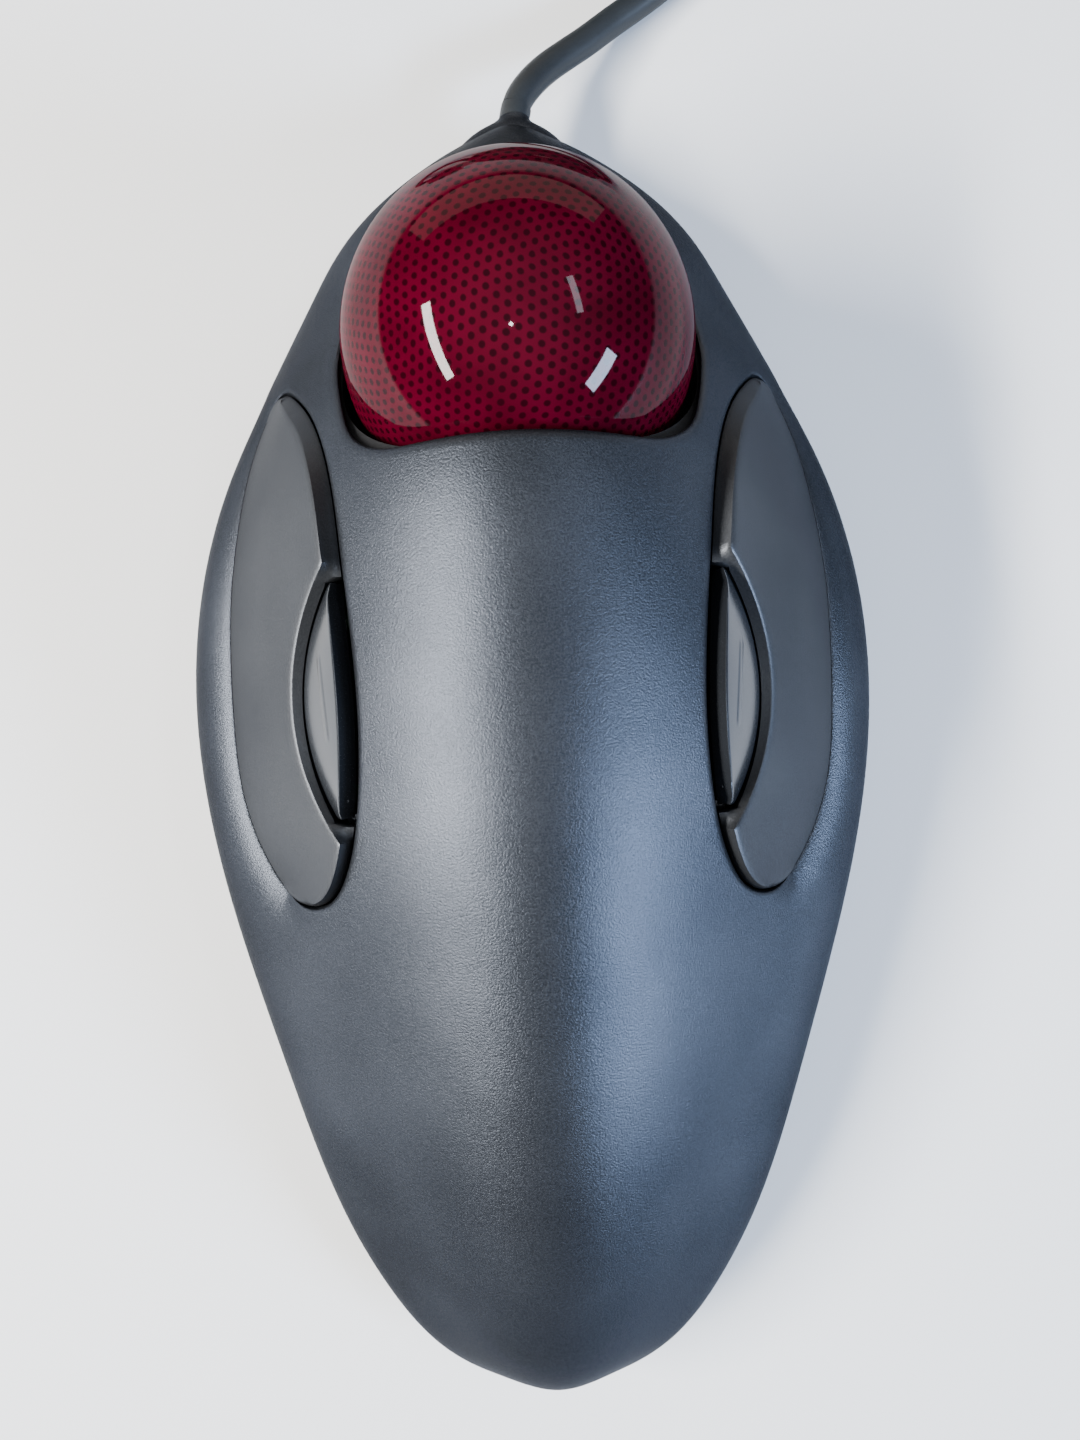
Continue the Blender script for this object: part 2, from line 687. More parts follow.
def rim_steps(outer, inner, normal, floor, side_count, arc_count):
    """Rings between the outer and the inner surface along the parting line and nose hole."""
    steps = []
    flat_normal = normal * (1.0, 1.0, 0.0)
    flat_normal /= np.maximum(np.linalg.norm(flat_normal, axis=1, keepdims=True), 1e-6)
    on_arc = np.zeros(len(outer), bool)
    on_arc[side_count:side_count + arc_count] = True
    for inset, height, share in ((0.1, floor + 0.1, 0.1), (RIM_ROUNDING, floor, 0.25),
                                 (WALL - 0.3, floor, 0.8)):
        rim = outer - inset * flat_normal
        rim[:, 2] = height
        arc = outer + share * (inner - outer)
        steps.append(np.where(on_arc[:, None], arc, rim))
    return steps


def socket_skirt():
    """Spherical band that carries the socket down from the dome to the bowl's rim."""
    columns, rows, clearance, highest = 120, 18, LIP_ROUNDING + 1.0, 1.1
    bearing = 2.0 * math.pi * np.arange(columns) / columns
    loops = []
    for radius in (SOCKET_RADIUS + 0.02, SOCKET_RADIUS + SOCKET_WALL):
        low = math.asin((SKIRT_FOOT_Z - BALL_CENTRE[2]) / radius)
        bottom = np.full(columns, low)
        top = np.full(columns, highest)
        for _ in range(30):
            middle = (bottom + top) / 2.0
            under = sphere_points(radius, bearing, middle)
            below = under[:, 2] < dome(under[:, 0], under[:, 1]) - clearance
            bottom, top = np.where(below, middle, bottom), np.where(below, top, middle)
        levels = [low + (bottom - low) * k / rows for k in range(rows + 1)]
        level_loops = [sphere_points(radius, bearing, level) for level in levels]
        loops += level_loops if not loops else level_loops[::-1]
    return loft(loops, closed_ends=False)


def sphere_points(radius, bearing, rise):
    flat = radius * np.cos(rise)
    return np.stack([BALL_CENTRE[0] + flat * np.cos(bearing),
                     BALL_CENTRE[1] + flat * np.sin(bearing),
                     BALL_CENTRE[2] + radius * np.sin(rise) * np.ones(len(bearing))], axis=1)


def casing_posts():
    """Screw posts under the dome, each with a blind bore."""
    head_depth, bore_top, tip_top, tip_radius = 1.1, 12.0, 12.4, 0.2
    posts = []
    for x, y in SCREWS:
        for side in (-1, 1):
            outer = ring((side * x, y, POST_FOOT_Z), 2, POST_RADIUS, 32)
            bore = ring((side * x, y, POST_FOOT_Z), 2, BORE_RADIUS, 32)
            head = outer.copy()
            head[:, 2] = dome(head[:, 0], head[:, 1]) - head_depth
            blind = bore.copy()
            blind[:, 2] = bore_top
            tip = ring((side * x, y, tip_top), 2, tip_radius, 32)
            posts.append(loft([head, outer, bore, blind, tip]))
    return posts


def casing_lugs():
    """Plates that hang from the dome and carry the buttons' hinge pins."""
    spans = [((27.9, 29.6), MAIN_PIVOT), ((21.4, 23.1), MAIN_PIVOT), ((18.0, 19.8), SMALL_PIVOT)]
    depth, count = 1.2, 40
    lugs = []
    turns = 2.0 * math.pi * np.arange(count) / count
    for (low, high), (_, y, z) in spans:
        outlines = {}
        for x in (low, high):
            reach = np.full(count, LUG_RADIUS)
            upper = np.sin(turns) > 0.0
            side_reach = LUG_RADIUS / np.maximum(np.abs(np.cos(turns)), 1e-3)
            top = dome(x, y) - depth - z
            top_reach = top / np.maximum(np.sin(turns), 1e-3)
            reach[upper] = np.minimum(side_reach, top_reach)[upper]
            outlines[x] = np.stack([np.full(count, x), y + reach * np.cos(turns),
                                    z + reach * np.sin(turns)], axis=1)
        holes = {x: ring((x, y, z), 0, PIN_HOLE_RADIUS, count) for x in (low, high)}
        part = loft([outlines[low], outlines[high], holes[high], holes[low]], closed_ends=False)
        lugs += [on_side(part, side) for side in (-1, 1)]
    return lugs


# ---- lower casing

BASE_OUTSIDE = [(1.0, 6.2), (2.0, 3.7), (3.8, 1.5), (5.8, 0.3), (7.85, 0.0)]
OUTLINE_COUNT = 260
PAD_Y = (34.0, 54.0, 66.0, 80.0)    # where the flat underside grows wider, round the front screws
PAD_INSET = 2.6
PAD_SHARE = 0.88
BOSS_BORE = 1.5
BOARD_POST = (2.6, 1.2, 9.6)        # radius, bore, top


def notched(loop):
    """Lower the rim's points that lie in the cable's hole."""
    x, y, z = loop.T
    notch = PARTING_Z - np.sqrt(np.clip(NOSE_HOLE_RADIUS ** 2 - x ** 2, 0.0, None))
    lowered = np.where((np.abs(x) < NOSE_HOLE_RADIUS) & (y > 60.0), np.minimum(z, notch), z)
    return np.stack([x, y, lowered], axis=1)


def base_level(z, inset):
    """Outline of the tray at one height, reaching further out round the front screws."""
    pad = np.interp(casing_outline(0.0, OUTLINE_COUNT)[:, 1], PAD_Y, (0.0, 1.0, 1.0, 0.0))
    insets = inset - ease(pad) * PAD_SHARE * max(inset - PAD_INSET, 0.0)
    plan = casing_outline(insets[:, None], OUTLINE_COUNT)
    return notched(at_height(plan, z))


def lower_casing_parts():
    """Tray with pockets in its underside for feet, screws and plate, and its bosses."""
    profile = spline(BASE_OUTSIDE)
    levels = [(BASE_Z, 6.6), (BASE_Z + 0.06, float(profile(BASE_Z)))]
    levels += [(z, float(profile(z))) for z in np.linspace(BASE_Z, 7.6, 16)[1:]]
    levels += [(7.78, 0.08), (7.85, 0.3), (7.85, WALL - 0.2), (7.7, WALL), (6.4, 2.3), (5.2, 2.7),
               (4.2, 4.2), (3.4, 5.8), (3.0, 7.0)]
    tray_points, tray_faces = loft([base_level(z, inset) for z, inset in levels])
    tray_faces = tray_faces[1:]
    points = [np.array(tray_points)]
    count = len(tray_points)
    pockets = [(circle_plan(side * x, y, radius, segments), ceiling)
               for centres, (radius, ceiling), segments in ((FEET, FOOT_POCKET, 48),
                                                            (SCREWS, SCREW_POCKET, 32))
               for x, y in centres for side in (-1, 1)]
    cx, cy, half_x, half_y, corner = LABEL_SEAT
    seat = np.array(rounded_loop(half_x, half_y, corner, 8)) + (cx, cy)
    pockets.append((seat, LABEL_CEILING))
    rim = np.array(tray_points[:OUTLINE_COUNT])[:, :2]
    plan = [rim]
    index = list(range(OUTLINE_COUNT))
    edges = [(i, (i + 1) % OUTLINE_COUNT) for i in range(OUTLINE_COUNT)]
    walls = []
    for loop, ceiling in pockets:
        first = len(index)
        plan.append(loop)
        mine = list(range(count, count + len(loop)))
        points.append(at_height(loop, BASE_Z))
        index += mine
        edges += [(first + i, first + (i + 1) % len(loop)) for i in range(len(loop))]
        count += len(loop)
        deep = list(range(count, count + len(loop)))
        points.append(at_height(loop, ceiling))
        count += len(loop)
        walls.append((mine, deep))
    pitch, rim_gap, pocket_gap = 4.0, 8.0, 1.0
    gx, gy = np.meshgrid(np.arange(-36.0, 37.0, pitch), np.arange(-76.0, 77.0, pitch))
    grid = np.stack([gx.ravel(), gy.ravel()], axis=1)
    grid = grid[inside_loop(grid, casing_outline(rim_gap, 120))]
    for loop, _ in pockets:
        grid = grid[~inside_loop(grid, offset_loop(loop, pocket_gap))]
    plan.append(grid)
    index += list(range(count, count + len(grid)))
    points.append(at_height(grid, BASE_Z))
    plan = np.vstack(plan)
    triangles = triangulate(plan, edges)
    middles = plan[triangles].mean(axis=1)
    keep = inside_loop(middles, rim)
    for loop, _ in pockets:
        keep &= ~inside_loop(middles, loop)
    faces = tray_faces + [[index[i] for i in t] for t in triangles[keep]]
    for mine, deep in walls:
        faces.append(deep)
        for i in range(len(mine)):
            j = (i + 1) % len(mine)
            faces.append([mine[i], mine[j], deep[j], deep[i]])
    bosses = [hollow_post(side * x, y, POST_RADIUS, BOSS_BORE, POST_FOOT_Z - 0.3)
              for x, y in SCREWS for side in (-1, 1)]
    bosses += [hollow_post(x, y, *BOARD_POST) for x, y in BOARD_SCREWS]
    return [(np.vstack(points), faces)] + bosses


def hollow_post(x, y, radius, bore, top):
    foot = 2.8
    return turned((x, y, 0.0), 2, [(foot, radius), (top - 0.2, radius), (top, radius - 0.2),
                                   (top, bore + 0.1), (top - 0.2, bore), (foot, bore)], 32, False)


def circle_plan(x, y, radius, segments):
    return ring((x, y, 0.0), 2, radius, segments)[:, :2]


# ---- ball

def ball_parts():
    """Geodesic ball; each of its 20 parent triangles carries the dot lattice in its UVs."""
    golden = (1.0 + math.sqrt(5.0)) / 2.0
    corners = np.array([(-1, golden, 0), (1, golden, 0), (-1, -golden, 0), (1, -golden, 0),
                        (0, -1, golden), (0, 1, golden), (0, -1, -golden), (0, 1, -golden),
                        (golden, 0, -1), (golden, 0, 1), (-golden, 0, -1), (-golden, 0, 1)], float)
    corners /= np.linalg.norm(corners[0])
    parents = [(0, 11, 5), (0, 5, 1), (0, 1, 7), (0, 7, 10), (0, 10, 11), (1, 5, 9), (5, 11, 4),
               (11, 10, 2), (10, 7, 6), (7, 1, 8), (3, 9, 4), (3, 4, 2), (3, 2, 6), (3, 6, 8),
               (3, 8, 9), (4, 9, 5), (2, 4, 11), (6, 2, 10), (8, 6, 7), (9, 8, 1)]
    arc = math.acos(float(corners[0] @ corners[11]))
    steps = 2 * DOTS_PER_EDGE
    lookup, points, faces, marks = {}, [], [], []
    for a, b, c in parents:
        def corner_of(i, j):
            shares = np.array((steps - i - j, i, j)) / steps
            weights = np.sin(shares * arc)
            place = weights @ corners[[a, b, c]]
            place /= np.linalg.norm(place)
            key = tuple(np.round(place, 5))
            if key not in lookup:
                lookup[key] = len(points)
                points.append(place)
            return lookup[key], ((i + j / 2) / 2.0, j * math.sqrt(3.0) / 4.0)
        for i in range(steps):
            for j in range(steps - i):
                first = [corner_of(i, j), corner_of(i + 1, j), corner_of(i, j + 1)]
                tiles = [first]
                if i + j < steps - 1:
                    tiles.append([corner_of(i + 1, j), corner_of(i + 1, j + 1),
                                  corner_of(i, j + 1)])
                for tile in tiles:
                    faces.append([index for index, uv in tile])
                    marks.append([uv for index, uv in tile])
    return np.array(points) @ ball_tilt().T * BALL_RADIUS + BALL_CENTRE, faces, marks


def ball_tilt():
    """Turns the pattern so that no parent corner faces straight up."""
    a, b = 0.42, 0.31
    about_x = np.array([(1, 0, 0), (0, math.cos(a), -math.sin(a)), (0, math.sin(a), math.cos(a))])
    about_y = np.array([(math.cos(b), 0, math.sin(b)), (0, 1, 0), (-math.sin(b), 0, math.cos(b))])
    return about_y @ about_x


def ball_object():
    points, faces, marks = ball_parts()
    mesh = bpy.data.meshes.new("ball")
    mesh.from_pydata((points * MM).tolist(), [], faces)
    layer = mesh.uv_layers.new(name="dots")
    layer.data.foreach_set("uv", np.array(marks, float).ravel())
    mesh.shade_smooth()
    return add_object("ball", mesh)


# ---- buttons

def slab(top_rows, bottom_rows):
    """Closed slab from rows of points, with the same count in every row above and below."""
    top, bottom = np.array(top_rows), np.array(bottom_rows)
    rows, across = top.shape[:2]
    points = np.vstack([top.reshape(-1, 3), bottom.reshape(-1, 3)])
    under = rows * across
    faces = []
    for i in range(rows - 1):
        for j in range(across - 1):
            a = i * across + j
            faces.append([a, a + 1, a + across + 1, a + across])
            faces.append([under + a + across, under + a + across + 1, under + a + 1, under + a])
    border = list(range(across))
    border += [i * across + across - 1 for i in range(1, rows)]
    border += [(rows - 1) * across + j for j in range(across - 2, -1, -1)]
    border += [i * across for i in range(rows - 2, 0, -1)]
    for i, start in enumerate(border):
        after = border[(i + 1) % len(border)]
        faces.append([start, under + start, under + after, after])
    return points, faces


def row_offsets(width, inner_round, outer_round, middle_count):
    """Places across a row, close together where its two edges round off."""
    inner = edge_places(inner_round)
    outer = width - edge_places(outer_round)[::-1]
    middle = np.linspace(inner[-1], outer[0], middle_count + 2)[1:-1]
    return np.concatenate([inner, middle, outer])


def button_outlines(count):
    """Edge of the large button's top and foot of its wall, each as an inner and an outer side."""
    share = np.arange(count + 1) / count
    fade = np.clip(np.minimum(share, 1.0 - share) / TIP_SHARE, 0.0, 1.0)
    top_inner = np.interp(share, *np.array(TOP_INSETS).T)
    sides = []
    for inner, tip in ((top_inner, TOP_TIP_INSET), (np.full(count + 1, FOOT_GAP), FOOT_GAP)):
        outer = tip + (OUTER_GAP - tip) * ease(fade)
        loop = button_opening(np.concatenate([outer, inner[1:-1][::-1]]), count)
        sides.append((np.vstack([loop[count:], loop[:1]])[::-1], loop[:count + 1]))
    return sides


def arc_reach(centre, radius, y):
    return centre[0] + math.sqrt(max(radius ** 2 - (y - centre[1]) ** 2, 0.0))


NEAR_EDGE = np.array((0.0, 0.08, 0.2, 0.38, 0.8))   # places where the crisp edge is drawn
UP_THE_WALL = np.array((0.0, 0.25, 0.5, 0.75, 0.92))
MAIN_ROWS = 180
TOP_COLUMNS = 25
OUTER_WALL_SLOPE = 2.0
THINNEST_BUTTON = 0.4
MAIN_ARM_X, MAIN_PIN_X = (25.2, 27.4), (21.4, 29.6)
SMALL_ARM_X, SMALL_PIN_X = (20.3, 21.4), (18.0, 21.0)


def main_button_row(position, top_inner, top_outer, foot_inner, foot_outer, outer_line):
    """One row of the large button: its wall, bevel and top, and the points of its underside."""
    edge, foot = top_inner.copy(), foot_inner.copy()
    edge[0] = max(edge[0], arc_reach(NOTCH_CENTRE, NOTCH_RADIUS, edge[1]))
    low, high = SMALL_Y
    in_notch = low - MOTION_GAP - SWING_SHIFT < edge[1] < high + MOTION_GAP
    if in_notch:
        beside = min(max(edge[1] + SWING_SHIFT, low), high)
        foot[0] = arc_reach(SMALL_CENTRE, SMALL_RADIUS, beside) + MOTION_GAP
    width = float(np.linalg.norm(top_outer - edge))
    near_edge = NEAR_EDGE * min(1.0, width / 3.0)
    offsets = np.concatenate([near_edge, np.linspace(near_edge[-1], width, TOP_COLUMNS)[1:]])
    plan = edge + (offsets / width)[:, None] * (top_outer - edge)
    span = float(np.linalg.norm(top_outer - foot_inner))
    across = np.clip(1.0 - np.linalg.norm(plan - top_outer, axis=1) / span, 0.0, 1.0)
    level = button_level(plan, across, position) - soft_drop(offsets, CRISP_EDGE) \
        - soft_drop(loop_distance(plan, outer_line, closed=False), SOFT_EDGE)
    if in_notch:
        foot_z = level[0] - NOTCH_BEVEL
    else:
        foot_z = float(dome(*foot)) - WALL_DEPTH
    start = np.array((*foot, foot_z))
    top = np.column_stack([plan, level])
    wall = start + UP_THE_WALL[:, None] * (top[0] - start)
    outer_z = level[-1] - OUTER_WALL_SLOPE * np.linalg.norm(foot_outer - top_outer)
    top = np.vstack([wall, top, [(*foot_outer, outer_z)]])
    under_plan = foot + np.linspace(0.0, 1.0, len(top))[:, None] * (foot_outer - foot)
    under_across = np.clip(1.0 - np.linalg.norm(under_plan - foot_outer, axis=1) / span, 0.0, 1.0)
    under = button_level(under_plan, under_across, position) \
        - BUTTON_THICK - INNER_EXTRA_THICK * (1.0 - under_across) ** 2
    above = np.interp(under_plan[:, 0], top[:, 0], top[:, 2])
    under = np.minimum(under, above - THINNEST_BUTTON)
    return top, np.column_stack([under_plan, under])


def main_button_parts():
    """Large wing-shaped button with its hinge arm, pin and switch rib."""
    (top_inner, top_outer), (foot_inner, foot_outer) = button_outlines(MAIN_ROWS)
    margin = round(TIP_SHARE * MAIN_ROWS)
    outer_line = foot_outer[margin:-margin:4]
    rows = [main_button_row(i / MAIN_ROWS, top_inner[i], top_outer[i], foot_inner[i],
                            foot_outer[i], outer_line) for i in range(3, MAIN_ROWS - 2)]
    for end, tip in ((0, foot_inner[0]), (-1, foot_inner[-1])):
        foot_z = float(dome(*tip)) - WALL_DEPTH
        count_across = len(rows[end][0])
        spread = np.linspace(-0.06, 0.06, count_across)
        cap = np.column_stack([tip[0] + spread, np.full(count_across, tip[1]),
                               np.full(count_across, foot_z)])
        rows.insert(0 if end == 0 else len(rows), (cap, cap - (0.0, 0.0, 0.6)))
    y, z = MAIN_PIVOT[1:]
    arm = [(-4.0, 26.0), (-9.0, 20.5), (-16.0, 16.9), (y, z + 1.6), (y - 1.6, z), (y, z - 1.6),
           (-15.0, 13.8), (-6.0, 17.5), (0.0, 23.5), (1.0, 26.0)]
    rib_top = float(dome(*MAIN_SWITCH)) - 1.4
    return [slab(*zip(*rows)), side_plate(arm, *MAIN_ARM_X), hinge_pin(*MAIN_PIN_X, y, z),
            upright_box(MAIN_SWITCH, (1.2, 1.2), PLUNGER_GAP_Z, rib_top)]


def hinge_pin(low, high, y, z):
    return turned((0.0, y, z), 0, [(low, PIN_RADIUS - 0.25), (low + 0.25, PIN_RADIUS),
                                   (high - 0.25, PIN_RADIUS), (high, PIN_RADIUS - 0.25)], 28)


def button_level(plan, across, position):
    """Height of the large button's top, before its edges are rounded."""
    middle = math.sin(math.pi * min(max(position, 0.0), 1.0)) ** 0.5
    raise_here = BUTTON_RAISE * (1.0 - across) ** 1.6 * (0.35 + 0.65 * middle)
    return dome(plan[:, 0], plan[:, 1]) + raise_here


TACTILE_LINE = ((22.95, 12.1), (22.2, 3.6))     # raised line on the small button
TACTILE_HALF_WIDTH = 0.3
TACTILE_HEIGHT = 0.1


def small_button_parts():
    """Half-moon button with its hinge arm, pin and switch stem."""
    top_rows, bottom_rows = [], []
    low, high = SMALL_Y
    spans, columns, end_round = 120, 44, 0.5
    for i in range(spans + 1):
        y = low + (high - low) * (0.5 - 0.5 * math.cos(math.pi * i / spans))
        inner = float(inner_curve(station_position(y))) + SMALL_GAP
        outer = max(arc_reach(SMALL_CENTRE, SMALL_RADIUS, y), inner + 0.3)
        draft = min(SMALL_DRAFT, 0.55 * (outer - inner))
        top_inner = inner + draft
        width = outer - top_inner
        inner_round, outer_round = min(0.35, 0.3 * width), min(0.3, 0.3 * width)
        offsets = row_offsets(width, inner_round, outer_round, columns)
        x = top_inner + offsets
        foot_x = inner + (outer - inner) * offsets / width
        share = (x - inner) / (outer - inner)
        rise = SMALL_RAISE[0] + share ** 1.3 * (SMALL_RAISE[1] - SMALL_RAISE[0])
        level = dome(x, np.full(len(x), y)) + rise
        drop = rounding_drop(offsets, inner_round) + rounding_drop(width - offsets, outer_round)
        end = min(y - low, high - y)
        drop = drop + rounding_drop(np.array([end]), end_round)
        plan = np.column_stack([x, np.full(len(x), y)])
        level = level - drop + tactile_rise(plan)
        foot_level = dome(foot_x, np.full(len(x), y)) + rise - SMALL_THICK
        top_rows.append(np.column_stack([plan, level]))
        bottom_rows.append(np.column_stack([foot_x, np.full(len(x), y), foot_level]))
    y, z = SMALL_PIVOT[1:]
    arm = [(-3.5, 32.0), (-5.3, 27.0), (y, z + 1.8), (y - 1.7, z), (y, z - 1.8), (-4.0, 26.0),
           (3.0, 31.0), (3.0, 32.0)]
    stem_x, stem_y = SMALL_SWITCH
    stem_top = float(dome(stem_x, stem_y)) - 1.6
    return [slab(top_rows, bottom_rows), side_plate(arm, *SMALL_ARM_X),
            hinge_pin(*SMALL_PIN_X, y, z),
            upright_box(SMALL_SWITCH, (0.9, 1.2), PLUNGER_GAP_Z, stem_top)]


def tactile_rise(plan):
    """Height of the thin raised line at plan points."""
    a, b = (np.array(end) for end in TACTILE_LINE)
    gap = loop_distance(plan, np.array([a, b]), closed=False)
    return TACTILE_HEIGHT * np.clip(1.0 - (gap / TACTILE_HALF_WIDTH) ** 2, 0.0, 1.0)


# ---- relief and plug

RELIEF_BEND = 0.021             # sideways lean of the relief's free end, per square millimetre
RELIEF_ROOT_Y = 79.0            # where that lean begins


def strain_relief_parts():
    """Grommet in the nose: flange inside, waist in the hole and a short soft collar."""
    profile = [(73.9, 3.9), (74.2, 4.2), (75.2, 4.2), (75.45, 3.9), (75.5, 2.45), (78.0, 2.45),
               (79.0, 2.1), (80.2, 1.98), (82.0, 1.97), (83.5, 1.96), (84.6, 1.95), (85.3, 1.92)]
    loops = []
    for y, radius in profile:
        past = max(y - RELIEF_ROOT_Y, 0.0)
        loop = ring((RELIEF_BEND * past ** 2, 0.0, PARTING_Z), 1, radius, 48)
        lean = 2.0 * RELIEF_BEND * past
        loop[:, 1] = y - lean * (loop[:, 0] - RELIEF_BEND * past ** 2)
        loops.append(loop)
    return [loft(loops)]


def nose_flare():
    """Concave flare of the casing round the cable's hole: a closed ring through (Y, half
    width, half height)."""
    profile = [(77.5, 8.7, 5.9), (78.5, 7.95, 5.4), (79.3, 7.3, 4.95), (80.0, 6.65, 4.55),
               (80.7, 5.9, 4.15), (81.3, 5.1, 3.75), (81.8, 4.25, 3.3), (82.3, 3.4, 2.85),
               (82.8, 2.7, 2.45), (83.2, 2.32, 2.24), (83.5, 2.14, 2.12), (83.6, 2.08, 2.07),
               (83.5, 2.02, 2.02), (79.2, 2.15, 2.15), (77.2, 6.5, 4.4)]
    loops = []
    for y, half_x, half_z in profile:
        middle = RELIEF_BEND * max(y - RELIEF_ROOT_Y, 0.0) ** 2
        loop = ring((0.0, y, 0.0), 1, 1.0, 64) * (half_x, 1.0, half_z)
        loops.append(loop + (middle, 0.0, PARTING_Z))
    return loft(loops, closed_ends=False)


def plug_loop(y, half_x, half_z, corner):
    axis_x, axis_z = PLUG_AXIS
    return [(axis_x + a, y, axis_z + b) for a, b in rounded_loop(half_x, half_z, corner, 6)]


SLEEVE_RIB = [(0.0, 2.5, 2.25, 2.1), (0.9, 2.5, 2.25, 2.1), (1.0, 2.2, 2.0, 1.95),
              (1.7, 2.25, 2.05, 1.95)]
GRIP_GROOVE = [(0.0, 7.8, 3.98), (0.35, 7.8, 3.7), (0.95, 7.8, 3.7), (1.3, 7.85, 3.98)]


def plug_boot_parts():
    """Moulded boot: a ribbed sleeve that widens into a grip with thumb grooves."""
    start, rib_pitch, groove_pitch = PLUG_START_Y, 1.8, 2.2
    stations = [(start - 0.3, 2.2, 2.05, 1.9), (start, 2.4, 2.2, 2.05)]
    for k in range(4):
        y = start + 0.9 + rib_pitch * k
        grow = 0.22 * k
        stations += [(y + along, half_x + grow, half_z + 0.12 * k, corner)
                     for along, half_x, half_z, corner in SLEEVE_RIB]
    stations += [(start + 8.2, 3.6, 2.8, 2.2), (start + 9.4, 6.0, 3.5, 2.0),
                 (start + 10.2, 7.1, 3.8, 1.8), (start + 11.0, 7.5, 3.9, 1.7)]
    for k in range(5):
        y = start + 14.0 + groove_pitch * k
        stations += [(y + along, half_x, half_z, 1.6) for along, half_x, half_z in GRIP_GROOVE]
    stations += [(start + 28.6, 8.0, 4.0, 1.6), (start + 29.6, 7.8, 3.8, 1.5),
                 (start + 30.0, 7.4, 3.4, 1.3)]
    return [loft([plug_loop(*s) for s in stations])]


# ---- materials

def new_node(tree, kind, inputs=None, **settings):
    """Adds a shader node; inputs take either a number or another node's socket."""
    node = tree.nodes.new(kind)
    for key, value in settings.items():
        setattr(node, key, value)
    for socket, value in (inputs or {}).items():
        if isinstance(value, bpy.types.NodeSocket):
            tree.links.new(value, node.inputs[socket])
        else:
            node.inputs[socket].default_value = value
    return node


def calc(tree, operation, *inputs):
    node = new_node(tree, "ShaderNodeMath", dict(enumerate(inputs)), operation=operation)
    return node.outputs[0]


def object_coords(tree):
    return new_node(tree, "ShaderNodeTexCoord").outputs["Object"]


def blank_material(name, shader_values):
    material = bpy.data.materials.new(name)
    material.use_nodes = True
    tree = material.node_tree
    shader = tree.nodes["Principled BSDF"]
    for socket, value in shader_values.items():
        shader.inputs[socket].default_value = value
    return material, tree, shader


def ramp(tree, factor, low, high, start=0.3, stop=0.7):
    node = new_node(tree, "ShaderNodeValToRGB", {"Fac": factor})
    node.color_ramp.elements[0].position = start
    node.color_ramp.elements[0].color = (*low, 1.0)
    node.color_ramp.elements[1].position = stop
    node.color_ramp.elements[1].color = (*high, 1.0)
    return node.outputs["Color"]


def noise(tree, coords, size_mm, detail=2.0, roughness=0.5):
    """Noise whose grains are about size_mm across."""
    node = new_node(tree, "ShaderNodeTexNoise", {"Vector": coords, "Scale": 1000.0 / size_mm,
                                                 "Detail": detail, "Roughness": roughness})
    return node.outputs["Fac"]


def raise_grain(tree, shader, height, strength, distance):
    relief = new_node(tree, "ShaderNodeBump", {"Height": height, "Strength": strength,
                                               "Distance": distance})
    tree.links.new(relief.outputs["Normal"], shader.inputs["Normal"])


def grained(name, low, high, gloss, grain, bump, patch, shader_values):
    """Moulded or painted surface: fine grain, slow colour drift and a little relief."""
    material, tree, shader = blank_material(name, shader_values)
    coords = object_coords(tree)
    fine = noise(tree, coords, grain, 3.0, 0.6)
    slow = noise(tree, coords, patch, 2.0)
    half = calc(tree, "MULTIPLY", calc(tree, "ADD", fine, slow), 0.5)
    tree.links.new(ramp(tree, half, low, high, 0.36, 0.64), shader.inputs["Base Color"])
    gloss_map = new_node(tree, "ShaderNodeMapRange", {"Value": fine, "From Min": 0.3,
                                                      "From Max": 0.7, "To Min": gloss[0],
                                                      "To Max": gloss[1]})
    tree.links.new(gloss_map.outputs["Result"], shader.inputs["Roughness"])
    raise_grain(tree, shader, fine, bump, grain * MM * 0.5)
    return material


